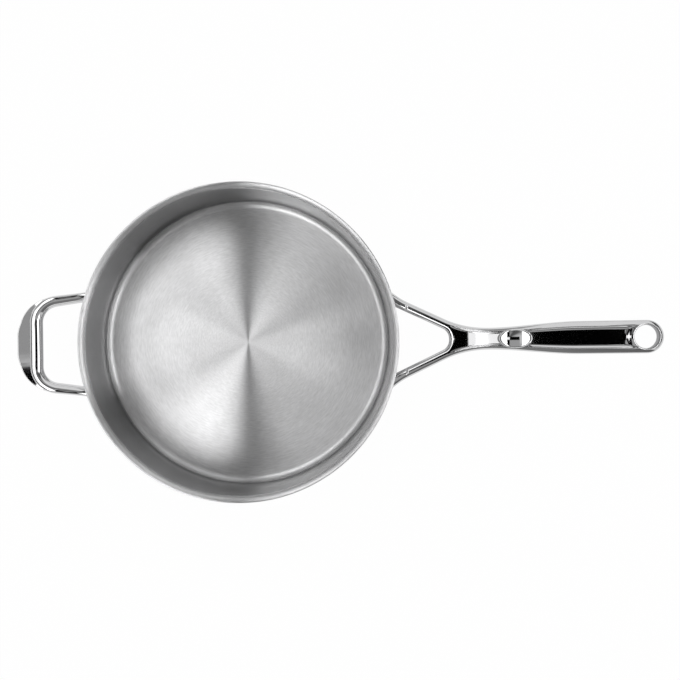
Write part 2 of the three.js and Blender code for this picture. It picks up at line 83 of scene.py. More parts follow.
def lathe_tree():
    """A tree that turns a profile about the Z axis, as a spinner turns sheet over a former."""
    tree = bpy.data.node_groups.new("turned_on_lathe", "GeometryNodeTree")
    tree.interface.new_socket("Profile", in_out="INPUT", socket_type="NodeSocketGeometry")
    tree.interface.new_socket("Turns", in_out="INPUT", socket_type="NodeSocketInt")
    tree.interface.new_socket("Former Radius", in_out="INPUT", socket_type="NodeSocketFloat")
    tree.interface.new_socket("Finish", in_out="INPUT", socket_type="NodeSocketMaterial")
    tree.interface.new_socket("Piece", in_out="OUTPUT", socket_type="NodeSocketGeometry")
    given = tree.nodes.new("NodeGroupInput")
    profile = tree.nodes.new("GeometryNodeMeshToCurve")
    round_path = tree.nodes.new("GeometryNodeCurvePrimitiveCircle")
    sweep = tree.nodes.new("GeometryNodeCurveToMesh")
    weld = tree.nodes.new("GeometryNodeMergeByDistance")
    realize = tree.nodes.new("GeometryNodeRealizeInstances")
    finish = tree.nodes.new("GeometryNodeSetMaterial")
    made = tree.nodes.new("NodeGroupOutput")
    weld.inputs["Distance"].default_value = MERGE_REACH
    link_to(profile.inputs["Mesh"], given, "Profile")
    link_to(round_path.inputs["Resolution"], given, "Turns")
    link_to(round_path.inputs["Radius"], given, "Former Radius")
    link_to(sweep.inputs["Curve"], round_path)
    link_to(sweep.inputs["Profile Curve"], profile)
    link_to(weld.inputs["Geometry"], sweep)
    link_to(realize.inputs["Geometry"], weld)
    link_to(finish.inputs["Geometry"], realize)
    link_to(finish.inputs["Material"], given, "Finish")
    link_to(made.inputs["Piece"], finish)
    return tree


def plain_mesh(maker, name):
    """The evaluated mesh of a maker object as a piece of its own, after which the maker is removed."""
    graph = bpy.context.evaluated_depsgraph_get()
    mesh = bpy.data.meshes.new_from_object(maker.evaluated_get(graph))
    bpy.data.objects.remove(maker)
    piece = bpy.data.objects.new(name, mesh)
    bpy.context.collection.objects.link(piece)
    mesh.shade_smooth()
    return piece


FORMER_RADIUS = 0.1
LATHE = lathe_tree()


def turned(name, profile, turns, finish, closed=False):
    """A turned piece from its profile. A closed profile is a ring, and any other runs from axis to axis."""
    line = bpy.data.meshes.new(name + "_profile")
    count = len(profile)
    edges = [(i, (i + 1) % count) for i in range(count if closed else count - 1)]
    line.from_pydata([(radius - FORMER_RADIUS, -height, 0) for radius, height in profile], edges, [])
    maker = bpy.data.objects.new(name + "_maker", line)
    bpy.context.collection.objects.link(maker)
    modifier = maker.modifiers.new("lathe", "NODES")
    modifier.node_group = LATHE
    given = {"Turns": turns, "Former Radius": FORMER_RADIUS, "Finish": finish}
    for socket in LATHE.interface.items_tree:
        if socket.name in given:
            modifier[socket.identifier] = given[socket.name]
    return plain_mesh(maker, name)


def face_out(piece):
    """Turns the faces of a closed piece outwards."""
    mesh = piece.data
    places = np.array([v.co for v in mesh.vertices])
    volume = 0
    for face in mesh.polygons:
        corners = places[list(face.vertices)]
        for second, third in zip(corners[1:], corners[2:]):
            volume += np.dot(corners[0], np.cross(second, third))
    if volume < 0:
        mesh.flip_normals()


def map_turned(piece):
    """A UV map whose first axis crosses the brushed rings: out from the pan's axis, and up."""
    mesh = piece.data
    uv = mesh.uv_layers.new(name="across_rings")
    for face in mesh.polygons:
        for loop in face.loop_indices:
            x, y, z = mesh.vertices[mesh.loops[loop].vertex_index].co
            centre = face.center
            turn = math.atan2(centre.x * y - centre.y * x, centre.x * x + centre.y * y)
            uv.data[loop].uv = (math.hypot(x, y) + abs(z), math.atan2(centre.y, centre.x) + turn)


def add(tree, kind, **settings):
    """A new node with its settings and its unlinked input values."""
    node = tree.nodes.new(kind)
    for name, value in settings.items():
        if hasattr(node, name):
            setattr(node, name, value)
        else:
            node.inputs[name.replace("_", " ")].default_value = value
    return node


def new_finish(name):
    """A material, its tree and its Principled shader."""
    finish = bpy.data.materials.new(name)
    finish.use_nodes = True
    tree = finish.node_tree
    return finish, tree, tree.nodes["Principled BSDF"]


DASHES_AROUND = 12.0
LINE_TONES = (0.82, 1.11)
LINE_GLOSS_SPREAD = 0.004
LINE_DEPTH = 0.00005
HAZE_PER_METRE = 30.0
HAZE_TONES = (0.95, 1.04)
OUTSIDE_PAINTED_SHADE = 0.80


def ring_brushed(name, color, roughness, line_strength, lines_per_metre, painted_wall_shade=1.0):
    """Steel brushed in rings about the Z axis: fine lines in its tone, its gloss and its surface.

    A painted wall shade below 1 darkens the wall's colour between fillet and lip as painted shade, more so
    inside, and makes that wall glossier.
    """
    finish, tree, shader = new_finish(name)
    shader.inputs["Metallic"].default_value = 1
    shader.inputs["Anisotropic"].default_value = 1
    place = add(tree, "ShaderNodeTexCoord")
    level = add(tree, "ShaderNodeVectorMath", operation="MULTIPLY")
    level.inputs[1].default_value = (1, 1, 0)
    link_to(level.inputs[0], place, "Object")
    reach = add(tree, "ShaderNodeVectorMath", operation="LENGTH")
    link_to(reach.inputs[0], level)
    facing = add(tree, "ShaderNodeVectorMath", operation="NORMALIZE")
    link_to(facing.inputs[0], level)
    around = add(tree, "ShaderNodeVectorMath", operation="SCALE")
    around.inputs["Scale"].default_value = DASHES_AROUND
    link_to(around.inputs[0], facing)
    height = add(tree, "ShaderNodeSeparateXYZ")
    link_to(height.inputs[0], place, "Object")
    run = add(tree, "ShaderNodeMath", operation="ADD")
    link_to(run.inputs[0], reach, "Value")
    link_to(run.inputs[1], height, "Z")
    fine = add(tree, "ShaderNodeMath", operation="MULTIPLY")
    fine.inputs[1].default_value = lines_per_metre
    link_to(fine.inputs[0], run)
    side = add(tree, "ShaderNodeSeparateXYZ")
    link_to(side.inputs[0], around)
    grain_place = add(tree, "ShaderNodeCombineXYZ")
    link_to(grain_place.inputs["X"], side, "X")
    link_to(grain_place.inputs["Y"], side, "Y")
    link_to(grain_place.inputs["Z"], fine)
    grain = add(tree, "ShaderNodeTexNoise", Scale=1.0, Detail=3.0, Roughness=0.7)
    link_to(grain.inputs["Vector"], grain_place)
    lines = add(tree, "ShaderNodeMapRange", From_Min=0.25, From_Max=0.75)
    lines.inputs["To Min"].default_value, lines.inputs["To Max"].default_value = LINE_TONES
    link_to(lines.inputs["Value"], grain)
    clouds = add(tree, "ShaderNodeTexNoise", Scale=HAZE_PER_METRE, Detail=3.0)
    link_to(clouds.inputs["Vector"], place, "Object")
    haze = add(tree, "ShaderNodeMapRange", From_Min=0.3, From_Max=0.7)
    haze.inputs["To Min"].default_value, haze.inputs["To Max"].default_value = HAZE_TONES
    link_to(haze.inputs["Value"], clouds)
    tone = add(tree, "ShaderNodeMath", operation="MULTIPLY")
    link_to(tone.inputs[0], lines)
    link_to(tone.inputs[1], haze)
    # Painted shade: the wall's colour is darkened between fillet and lip, less on its outside; the same mask
    # also lowers its roughness.
    fillet_side = add(tree, "ShaderNodeMapRange", To_Min=1.0, To_Max=painted_wall_shade)
    lip_side = add(tree, "ShaderNodeMapRange", To_Min=painted_wall_shade, To_Max=1.0)
    for side_of_wall, (start, end) in ((fillet_side, WALL_FROM_FILLET), (lip_side, WALL_TO_LIP)):
        side_of_wall.interpolation_type = "SMOOTHSTEP"
        side_of_wall.inputs["From Min"].default_value = start
        side_of_wall.inputs["From Max"].default_value = end
        link_to(side_of_wall.inputs["Value"], height, "Z")
    between = add(tree, "ShaderNodeMath", operation="MAXIMUM")
    link_to(between.inputs[0], fillet_side)
    link_to(between.inputs[1], lip_side)
    outside = add(tree, "ShaderNodeMapRange", To_Min=painted_wall_shade, To_Max=max(painted_wall_shade, OUTSIDE_PAINTED_SHADE))
    outside.inputs["From Min"].default_value = INNER_RADIUS
    outside.inputs["From Max"].default_value = OUTER_RADIUS
    link_to(outside.inputs["Value"], reach, "Value")
    wall = add(tree, "ShaderNodeMath", operation="MAXIMUM")
    link_to(wall.inputs[0], between)
    link_to(wall.inputs[1], outside)
    total = add(tree, "ShaderNodeMath", operation="MULTIPLY")
    link_to(total.inputs[0], tone)
    link_to(total.inputs[1], wall)
    shade = add(tree, "ShaderNodeVectorMath", operation="SCALE")
    shade.inputs[0].default_value = color[:3]
    link_to(shade.inputs["Scale"], total)
    link_to(shader.inputs["Base Color"], shade)
    grain_gloss = add(tree, "ShaderNodeMapRange")
    grain_gloss.inputs["To Min"].default_value = roughness - LINE_GLOSS_SPREAD
    grain_gloss.inputs["To Max"].default_value = roughness + LINE_GLOSS_SPREAD
    link_to(grain_gloss.inputs["Value"], grain)
    gloss = add(tree, "ShaderNodeMath", operation="MULTIPLY")
    link_to(gloss.inputs[0], grain_gloss)
    link_to(gloss.inputs[1], wall)
    link_to(shader.inputs["Roughness"], gloss)
    bump = add(tree, "ShaderNodeBump", Strength=line_strength, Distance=LINE_DEPTH)
    link_to(bump.inputs["Height"], grain)
    link_to(shader.inputs["Normal"], bump)
    along = add(tree, "ShaderNodeTangent", direction_type="UV_MAP", uv_map="across_rings")
    link_to(shader.inputs["Tangent"], along)
    return finish


def vessel_profile():
    """The outside from the axis out and up to the lip, then the inside back down to the axis."""
    lip_middle = LIP_BEND - SHEET / 2
    lip_level = RIM_LEVEL - lip_middle * math.sin(LIP_SWEEP) - SHEET / 2
    bend = (INNER_RADIUS + LIP_BEND, lip_level)
    edge = (bend[0] - lip_middle * math.cos(LIP_SWEEP), lip_level + lip_middle * math.sin(LIP_SWEEP))
    underside = FLOOR_LEVEL - SHEET
    outside = (OUTER_RADIUS, FILLET_CENTRE[1])
    inside = (INNER_RADIUS, FILLET_CENTRE[1])
    return [
        (0, underside),
        *straight((0, underside), (FILLET_CENTRE[0], underside), UNDERSIDE_STEPS),
        *arc(FILLET_CENTRE, FLOOR_FILLET + SHEET, -math.pi / 2, 0, FILLET_STEPS),
        *straight(outside, (OUTER_RADIUS, lip_level), WALL_STEPS),
        *arc(bend, LIP_BEND - SHEET, math.pi, math.pi - LIP_SWEEP, LIP_STEPS),
        *arc(edge, SHEET / 2, -LIP_SWEEP, math.pi - LIP_SWEEP, EDGE_STEPS)[1:-1],
        *arc(bend, LIP_BEND, math.pi - LIP_SWEEP, math.pi, LIP_STEPS),
        *straight((INNER_RADIUS, lip_level), inside, WALL_STEPS),
        *arc(FILLET_CENTRE, FLOOR_FILLET, 0, -math.pi / 2, FILLET_STEPS),
        *[(FILLET_CENTRE[0] * t**2, FLOOR_LEVEL) for t in np.linspace(1, 0, FLOOR_RINGS + 1)[1:]],
    ]


def settle(piece, slot, *nodes):
    """Puts a finished piece on the pan, in the place of its solids."""
    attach(piece, "root")
    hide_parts(*nodes)


# The inner wall's colour is painted down to 0.42 of the floor's tone as painted shade.
brushed_steel = ring_brushed(
    "brushed_vessel_steel", STEEL, roughness=0.28, line_strength=0.04, lines_per_metre=800, painted_wall_shade=0.42
)
vessel = turned("vessel_sheet", vessel_profile(), VESSEL_TURNS, brushed_steel)
face_out(vessel)
map_turned(vessel)
settle(vessel, "brushed_steel_vessel", "vessel")

# Sealed base
# A turned cap of magnetic steel closes over a copper disc, its two bond foils and an induction plate.
# It is welded to the vessel, so only the cap and its seam show. Its face carries coarser rings.
CAP_RADIUS = 0.138
CAP_SHEET = 0.001
CAP_CORNER = 0.004
SEAM_GAP = 0.0002
SEAM_HEIGHT = 0.0016
SEAM_SWELL = 0.0003
CAP_FACE_STEPS, CAP_CORNER_STEPS, CAP_INSIDE_STEPS, SEAM_STEPS = 20, 14, 8, 5
CAP_STEEL = (0.52, 0.52, 0.525, 1)
WELD_STEEL = (0.56, 0.56, 0.565, 1)
FOIL_SILVER = (0.78, 0.77, 0.74, 1)
CORE_COPPER = (0.72, 0.40, 0.26, 1)


def fillet_height(radius, clearance):
    """Height of the vessel's outside fillet at a radius, less a clearance."""
    reach = FLOOR_FILLET + SHEET + clearance
    return FILLET_CENTRE[1] - math.sqrt(reach**2 - (radius - FILLET_CENTRE[0]) ** 2)


cap_top = fillet_height(CAP_RADIUS - CAP_SHEET, SEAM_GAP)
cap_corner = (CAP_RADIUS - CAP_CORNER, CAP_CORNER)
cap_profile = [
    (0, 0),
    *straight((0, 0), (cap_corner[0], 0), CAP_FACE_STEPS),
    *arc(cap_corner, CAP_CORNER, -math.pi / 2, 0, CAP_CORNER_STEPS),
    (CAP_RADIUS, cap_top),
    (CAP_RADIUS - CAP_SHEET, cap_top),
    *arc(cap_corner, CAP_CORNER - CAP_SHEET, 0, -math.pi / 2, CAP_INSIDE_STEPS),
    (0, CAP_SHEET),
]
cap_steel = ring_brushed(
    "brushed_cap_steel", CAP_STEEL, roughness=0.34, line_strength=0.5, lines_per_metre=700
)
cap = turned("base_cap_dish", cap_profile, VESSEL_TURNS, cap_steel)
face_out(cap)
map_turned(cap)
settle(cap, "magnetic_steel", "base_cap")

seam_reach = FLOOR_FILLET + SHEET + SEAM_GAP
seam_foot = cap_top + SEAM_GAP
seam_crown = cap_top + SEAM_HEIGHT
seam_low = math.asin((seam_foot - FILLET_CENTRE[1]) / seam_reach)
seam_high = math.asin((seam_crown - FILLET_CENTRE[1]) / seam_reach)
seam_toe = arc(FILLET_CENTRE, seam_reach, seam_high, seam_low, SEAM_STEPS)
seam_swell = (CAP_RADIUS + SEAM_SWELL, (seam_foot + seam_crown) / 2)
seam_profile = [(CAP_RADIUS, seam_foot), seam_swell, *seam_toe]
weld_steel = ring_brushed(
    "seam_weld_steel", WELD_STEEL, roughness=0.3, line_strength=0.4, lines_per_metre=2500
)
seam = turned("base_seam_bead", seam_profile, VESSEL_TURNS, weld_steel, closed=True)
face_out(seam)
map_turned(seam)
settle(seam, "weld_steel", "base_seam_weld")


STREAKS_PER_METRE = (20, 900, 900)
STREAK_TONES = (0.85, 1.1)
STREAK_GLOSS_SPREAD = 0.06


def rolled(name, color, roughness):
    """Metal with faint streaks along one way, as rolls or a hand brush leave them."""
    finish, tree, shader = new_finish(name)
    shader.inputs["Metallic"].default_value = 1
    place = add(tree, "ShaderNodeTexCoord")
    stretch = add(tree, "ShaderNodeMapping", Scale=STREAKS_PER_METRE)
    link_to(stretch.inputs["Vector"], place, "Object")
    streaks = add(tree, "ShaderNodeTexNoise", Scale=1.0, Detail=3.0)
    link_to(streaks.inputs["Vector"], stretch)
    tone = add(tree, "ShaderNodeMapRange", To_Min=STREAK_TONES[0], To_Max=STREAK_TONES[1])
    link_to(tone.inputs["Value"], streaks)
    shade = add(tree, "ShaderNodeVectorMath", operation="SCALE")
    shade.inputs[0].default_value = color[:3]
    link_to(shade.inputs["Scale"], tone)
    link_to(shader.inputs["Base Color"], shade)
    gloss = add(tree, "ShaderNodeMapRange")
    gloss.inputs["To Min"].default_value = roughness - STREAK_GLOSS_SPREAD
    gloss.inputs["To Max"].default_value = roughness + STREAK_GLOSS_SPREAD
    link_to(gloss.inputs["Value"], streaks)
    link_to(shader.inputs["Roughness"], gloss)
    return finish


rolled_foil = rolled("rolled_foil", FOIL_SILVER, roughness=0.3)
rolled_finishes = {
    "upper_bond_foil": rolled_foil,
    "copper_disc": rolled("rolled_copper", CORE_COPPER, roughness=0.32),
    "lower_bond_foil": rolled_foil,
    "induction_plate": rolled("rolled_magnetic_steel", CAP_STEEL, roughness=0.4),
}
for node_name, node_finish in rolled_finishes.items():
    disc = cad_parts[node_name]
    disc.data.materials.clear()
    disc.data.materials.append(node_finish)

# Long handle
# One steel casting, ground and mirror polished: two legs with flared feet run in to a neck and a grip.
# Bevelled rails stand beside a trough, and a collar rises round the hanging eye at the end.
WELD_GAP = 0.0003
FOOT_RADIUS = OUTER_RADIUS + WELD_GAP
FOOT_OFFSET = 0.0383
FORK_REACH = 0.0743
LEG_WIDTH = 0.0086
FOOT_RUN = 0.018
FOOT_FLARE_OUT = 0.009
FOOT_FLARE_IN = 0.002
CROTCH_REACH = 0.050
FORK_BLEND = 0.020
NECK_WIDTH = 0.0196
NECK_REACH = 0.0845
GRIP_WIDTH = 0.0288
GRIP_REACH = 0.160
EYE_REACH = 0.215
EYE_RADIUS = 0.0102
FOOT_HEIGHT = 0.066
# How steeply the middle line climbs at each reach from the wall.
HANDLE_SLOPES = [
    (0, 0.087), (0.0485, 0.158), (0.0735, 0.321), (0.0935, 0.317),
    (0.1285, 0.279), (0.2035, 0.119), (0.2294, 0.07),
]
EDGE_HALF = 0.0012
RAIL_CROWN = 0.004
RAIL_WIDTH = 0.0046
RAIL_ROUNDNESS = 0.5
TROUGH_DEPTH = 0.002
TROUGH_SIDE = 0.003
TROUGH_RUN_IN = 0.025
TROUGH_RUN_OUT = 0.008
EYE_COLLAR = 0.0012
EYE_ROUND = 0.0014
BELLY = 0.0064
BELLY_ROUND = 0.012
POLISHED = (0.66, 0.66, 0.665, 1)
# A dark steel tone used as painted shade.
PAINTED_SHADE_STEEL = (0.30, 0.30, 0.305, 1)

EYE_X = OUTER_RADIUS + EYE_REACH


def smooth(value, low, high):
    """A smooth step from 0 at low to 1 at high."""
    t = np.clip((value - low) / (high - low), 0, 1)
    return t * t * (3 - 2 * t)


def bent(start, corner, end, t):
    """The point at a share t of a curve that leaves start and reaches end along the lines through corner."""
    return (1 - t) ** 2 * start + 2 * t * (1 - t) * corner + t**2 * end


def on_wall(y, radius):
    return np.array([math.sqrt(radius**2 - y**2), y])


leg_start = on_wall(FOOT_OFFSET, FOOT_RADIUS)
leg_run = np.array([OUTER_RADIUS + FORK_REACH, 0]) - leg_start
leg_run /= np.linalg.norm(leg_run)
leg_side = np.array([-leg_run[1], leg_run[0]])


def along_leg(distance, side):
    return leg_start + leg_run * distance + leg_side * side * LEG_WIDTH / 2


def leg_edge_at(axis, value, side):
    """Where the leg's edge on that side crosses a given value of x (0) or y (1)."""
    start = along_leg(0, side)
    return start + leg_run * (value - start[axis]) / leg_run[axis]


crotch = np.array([OUTER_RADIUS + CROTCH_REACH, 0])
crotch_corner = leg_edge_at(0, crotch[0], -1)
crotch_start = crotch_corner - leg_run * crotch_corner[1]
neck_corner = leg_edge_at(1, NECK_WIDTH / 2, 1)
neck_start = neck_corner - leg_run * FORK_BLEND
neck_end = np.array([OUTER_RADIUS + NECK_REACH, NECK_WIDTH / 2])


FLARE_SAMPLES = 2000


def foot_point(side, flare, radius):
    """The point of the foot's flared edge at a distance from the pan's axis."""
    start = on_wall(along_leg(0, side)[1] + side * flare, FOOT_RADIUS)
    corner, end = along_leg(FOOT_RUN / 3, side), along_leg(FOOT_RUN, side)
    points = np.array([bent(start, corner, end, t) for t in np.linspace(0, 1, FLARE_SAMPLES + 1)])
    reach = np.hypot(*points.T)
    return np.array([np.interp(radius, reach, points[:, k]) for k in (0, 1)])


def grip_half_width(x):
    share = smooth(x, OUTER_RADIUS + NECK_REACH, OUTER_RADIUS + GRIP_REACH)
    return (NECK_WIDTH + (GRIP_WIDTH - NECK_WIDTH) * share) / 2


FOOT_STEPS, LEG_STEPS, CROTCH_STEPS, NECK_STEPS, GRIP_STEPS, EYE_STEPS = 10, 16, 20, 20, 70, 56
GRIP_SHARE_FADE = 0.8


def handle_stations():
    """Lines across one half, from wall to tip: inner point, outer point, grip share and foot radius."""
    rows = []
    for t in np.linspace(0, 1, FOOT_STEPS + 1)[:-1]:
        radius = FOOT_RADIUS + t * FOOT_RUN * leg_run[0]
        inner = foot_point(-1, FOOT_FLARE_IN, radius)
        rows.append((inner, foot_point(1, FOOT_FLARE_OUT, radius), 0, radius))
    inner_start, outer_start = along_leg(FOOT_RUN, -1), along_leg(FOOT_RUN, 1)
    for t in np.linspace(0, 1, LEG_STEPS + 1):
        inner = inner_start + (crotch_start - inner_start) * t
        rows.append((inner, outer_start + (neck_start - outer_start) * t, 0, None))
    for t in np.linspace(0, 1, CROTCH_STEPS + 1)[1:]:
        inner = bent(crotch_start, crotch_corner, crotch, t)
        rows.append((inner, bent(neck_start, neck_corner, neck_end, t / 2), t / 2, None))
    for t in np.linspace(0, 1, NECK_STEPS + 1)[1:]:
        inner = crotch + (np.array([neck_end[0], 0]) - crotch) * t
        rows.append((inner, bent(neck_start, neck_corner, neck_end, (1 + t) / 2), (1 + t) / 2, None))
    for t in np.sin(np.linspace(0, math.pi / 2, GRIP_STEPS + 1))[1:]:
        x = neck_end[0] + (EYE_X - EYE_RADIUS - neck_end[0]) * t
        outer = np.array([x, grip_half_width(x)])
        rows.append((np.array([x, 0]), outer, 1 - smooth(t, GRIP_SHARE_FADE, 1), None))
    for angle in np.linspace(math.pi, 0, EYE_STEPS + 1)[1:]:
        way = np.array([math.cos(angle), max(math.sin(angle), 0)])
        inner = np.array([EYE_X, 0]) + EYE_RADIUS * way
        beside = np.array([inner[0], GRIP_WIDTH / 2])
        around = np.array([EYE_X, 0]) + GRIP_WIDTH / 2 * way
        rows.append((inner, beside if angle > math.pi / 2 else around, 0, None))
    return rows


def distance_to_line(points, line):
    """Distance of each point from a line of straight runs."""
    start, run = line[:-1], np.diff(line, axis=0)
    length = np.maximum((run**2).sum(1), 1e-18)
    along = np.clip(((points[:, None] - start) * run).sum(2) / length, 0, 1)
    return np.linalg.norm(points[:, None] - start - along[..., None] * run, axis=2).min(1)


def quarter_round(distance, run):
    return np.sqrt(1 - (1 - np.minimum(distance / run, 1)) ** 2)


def handle_middle(x):
    """Height of the middle line, from the slopes at each reach from the wall."""
    height = FOOT_HEIGHT
    for (start, slope), (end, end_slope) in zip(HANDLE_SLOPES, HANDLE_SLOPES[1:]):
        run = np.clip(x - OUTER_RADIUS - start, 0, end - start)
        height = height + run * (slope + (end_slope - slope) * run / (end - start) / 2)
    return height


def slimming(x):
    """How far the rails and the trough's sides narrow where the handle does."""
    return grip_half_width(x) / (GRIP_WIDTH / 2)


def handle_top(x, outer, leg, eye):
    """Height of the top: bevelled up to the rails, sunk between them, and tightly rounded at the eye."""
    rail_width = RAIL_WIDTH * slimming(x)
    nearest = np.min([outer, leg, eye * rail_width / EYE_ROUND], axis=0)
    bevel = np.minimum(nearest / rail_width, 1)
    crown = bevel + (quarter_round(nearest, rail_width) - bevel) * RAIL_ROUNDNESS
    side = np.clip((outer - rail_width) / (TROUGH_SIDE * slimming(x)), 0, 1)
    run = np.clip((x - crotch[0]) / TROUGH_RUN_IN, 0, 1)
    run_out = smooth(eye, EYE_COLLAR, EYE_COLLAR + TROUGH_RUN_OUT)
    sink = (1 - (1 - side) ** 2) * (1 - (1 - run) ** 2) * run_out
    return handle_middle(x) + EDGE_HALF + (RAIL_CROWN - EDGE_HALF) * crown - TROUGH_DEPTH * sink


def handle_underside(x, outer, leg, eye):
    nearest = np.min([outer, leg, eye * BELLY_ROUND / EYE_ROUND], axis=0)
    return handle_middle(x) - EDGE_HALF - (BELLY - EDGE_HALF) * quarter_round(nearest, BELLY_ROUND)


FLOOR_COLUMNS, SIDE_COLUMNS, RAIL_COLUMNS = 6, 12, 12
COLUMNS = FLOOR_COLUMNS + SIDE_COLUMNS + RAIL_COLUMNS
LEAST_BRINK = 0.3


def columns_across(width, grip_share):
    """Shares of the way across, crowded at a leg's two edges, or at the grip's trough and rail."""
    leg = 0.5 - 0.5 * np.cos(np.linspace(0, math.pi, COLUMNS + 1))
    slim = min(width / (GRIP_WIDTH / 2), 1)
    brink = max(1 - RAIL_WIDTH * slim / width, LEAST_BRINK)
    floor = max(1 - (RAIL_WIDTH + TROUGH_SIDE) * slim / width, brink / 3)
    rounded = 0.5 - 0.5 * np.cos(np.linspace(0, math.pi, RAIL_COLUMNS + 1))[1:]
    grip = np.concatenate([
        np.linspace(0, floor, FLOOR_COLUMNS + 1),
        floor + (brink - floor) * np.sin(np.linspace(0, math.pi / 2, SIDE_COLUMNS + 1))[1:],
        brink + (1 - brink) * rounded,
    ])
    return leg + (grip - leg) * grip_share


def handle_grid():
    """Top and underside points of each line across one half, and the lines whose inner end is open."""
    rows = handle_stations()
    outer_line = np.array([row[1] for row in rows])
    leg_rows = FOOT_STEPS + LEG_STEPS + 1 + CROTCH_STEPS
    eye_rows = len(rows) - EYE_STEPS - 1
    inner_line = np.array([row[0] for row in rows[:leg_rows]])
    eye_line = np.array([row[0] for row in rows[eye_rows:]])
    top, under = [], []
    for inner, outer, grip_share, radius in rows:
        shares = columns_across(np.linalg.norm(outer - inner), grip_share)[:, None]
        points = inner + (outer - inner) * shares
        if radius:
            points *= (radius / np.hypot(*points.T))[:, None]
        gaps = [distance_to_line(points, line) for line in (outer_line, inner_line, eye_line)]
        top.append(np.column_stack([points, handle_top(points[:, 0], *gaps)]))
        under.append(np.column_stack([points, handle_underside(points[:, 0], *gaps)]))
    free = set(range(leg_rows - 1)) | set(range(eye_rows, len(rows) - 1))
    return np.array(top), np.array(under), free


MERGE_DIGITS = 7


def merged_piece(name, vertices, faces, finish):
    """A smooth piece from loose faces, whose shared corners are welded and whose faces point out."""
    rounded = np.round(np.asarray(vertices), MERGE_DIGITS)
    unique, index = np.unique(rounded, axis=0, return_inverse=True)
    index = index.reshape(-1)
    kept = []
    for face in faces:
        corners = list(dict.fromkeys(int(index[i]) for i in face))
        if len(corners) > 2:
            kept.append(corners)
    mesh = bpy.data.meshes.new(name)
    mesh.from_pydata(unique.tolist(), [], kept)
    mesh.materials.append(finish)
    mesh.shade_smooth()
    piece = bpy.data.objects.new(name, mesh)
    bpy.context.collection.objects.link(piece)
    face_out(piece)
    return piece


def handle_piece(name, top, under, free, finish):
    """The casting from the points of one half, closed at its edges and mirrored to the other half."""
    lines, columns = top.shape[:2]
    half = np.concatenate([top.reshape(-1, 3), under.reshape(-1, 3)])

    def upper(i, j):
        return i * columns + j

    def lower(i, j):
        return lines * columns + i * columns + j

    faces = []
    for i in range(lines - 1):
        for j in range(columns - 1):
            faces.append((upper(i, j), upper(i + 1, j), upper(i + 1, j + 1), upper(i, j + 1)))
            faces.append((lower(i, j), lower(i, j + 1), lower(i + 1, j + 1), lower(i + 1, j)))
        j = columns - 1
        faces.append((lower(i, j), upper(i, j), upper(i + 1, j), lower(i + 1, j)))
        if i in free:
            faces.append((lower(i, 0), lower(i + 1, 0), upper(i + 1, 0), upper(i, 0)))
    for j in range(columns - 1):
        faces.append((lower(0, j), upper(0, j), upper(0, j + 1), lower(0, j + 1)))
    other = half * [1, -1, 1]
    mirrored = [tuple(len(half) + k for k in reversed(face)) for face in faces]
    return merged_piece(name, np.concatenate([half, other]), faces + mirrored, finish)


CLOUDS_PER_METRE = 60.0
CLOUD_TONES = (0.94, 1.04)
CLOUD_GLOSS = (0.7, 1.3)
WAVES_PER_METRE = (40, 160, 160)
WAVE_STRENGTH = 0.12
WAVE_DEPTH = 0.0002


def mirror_polished(name, color, roughness):
    """Cast steel, ground and polished: a mirror, faintly clouded, with the long waves of grinding."""
    finish, tree, shader = new_finish(name)
    shader.inputs["Metallic"].default_value = 1
    place = add(tree, "ShaderNodeTexCoord")
    cloud = add(tree, "ShaderNodeTexNoise", Scale=CLOUDS_PER_METRE, Detail=4.0, Roughness=0.6)
    link_to(cloud.inputs["Vector"], place, "Object")
    tone = add(tree, "ShaderNodeMapRange", To_Min=CLOUD_TONES[0], To_Max=CLOUD_TONES[1])
    link_to(tone.inputs["Value"], cloud)
    shade = add(tree, "ShaderNodeVectorMath", operation="SCALE")
    shade.inputs[0].default_value = color[:3]
    link_to(shade.inputs["Scale"], tone)
    link_to(shader.inputs["Base Color"], shade)
    gloss = add(tree, "ShaderNodeMapRange")
    gloss.inputs["To Min"].default_value = roughness * CLOUD_GLOSS[0]
    gloss.inputs["To Max"].default_value = roughness * CLOUD_GLOSS[1]
    link_to(gloss.inputs["Value"], cloud)
    link_to(shader.inputs["Roughness"], gloss)
    stretch = add(tree, "ShaderNodeMapping", Scale=WAVES_PER_METRE)
    link_to(stretch.inputs["Vector"], place, "Object")
    waves = add(tree, "ShaderNodeTexNoise", Scale=1.0, Detail=1.0)
    link_to(waves.inputs["Vector"], stretch)
    bump = add(tree, "ShaderNodeBump", Strength=WAVE_STRENGTH, Distance=WAVE_DEPTH)
    link_to(bump.inputs["Height"], waves)
    link_to(shader.inputs["Normal"], bump)
    return finish


polished_steel = mirror_polished("polished_cast_steel", POLISHED, roughness=0.05)
# Darker, rougher steel, used as painted shade in the eye's bore and on the lid rest's steep flank.
shaded_steel_finish = mirror_polished("steel_with_painted_shade", PAINTED_SHADE_STEEL, roughness=0.4)
handle_tops, handle_undersides, open_lines = handle_grid()
long_handle = handle_piece("long_handle_casting", handle_tops, handle_undersides, open_lines, polished_steel)
# The bore of the eye gets the darker, rougher steel: painted shade inside the hole.
long_handle.data.materials.append(shaded_steel_finish)
for face in long_handle.data.polygons:
    from_eye = math.hypot(face.center.x - EYE_X, face.center.y) - EYE_RADIUS
    if from_eye < EYE_ROUND / 3:
        face.material_index = 1
settle(long_handle, "polished_steel", "long_handle")

# Lid rest
# A small oval stud of polished steel with an arched top, welded into the trough of the neck.
# It stops a lid that is stood against the handle. It is turned round, then drawn out along the handle.
REST_REACH = 0.106
REST_LENGTH = 0.030
REST_WIDTH = 0.0176
REST_HEIGHT = 0.0085
REST_SHOULDER = 0.0022
REST_CROWN = 0.0005
REST_ARCH = 0.0026
REST_TILT = math.radians(6)
REST_ROOT = 0.003
REST_TURNS = 96
REST_SIDE_STEPS, REST_SHOULDER_STEPS, REST_DOME_STEPS = 5, 12, 16
FLANK_TURN = 0.55

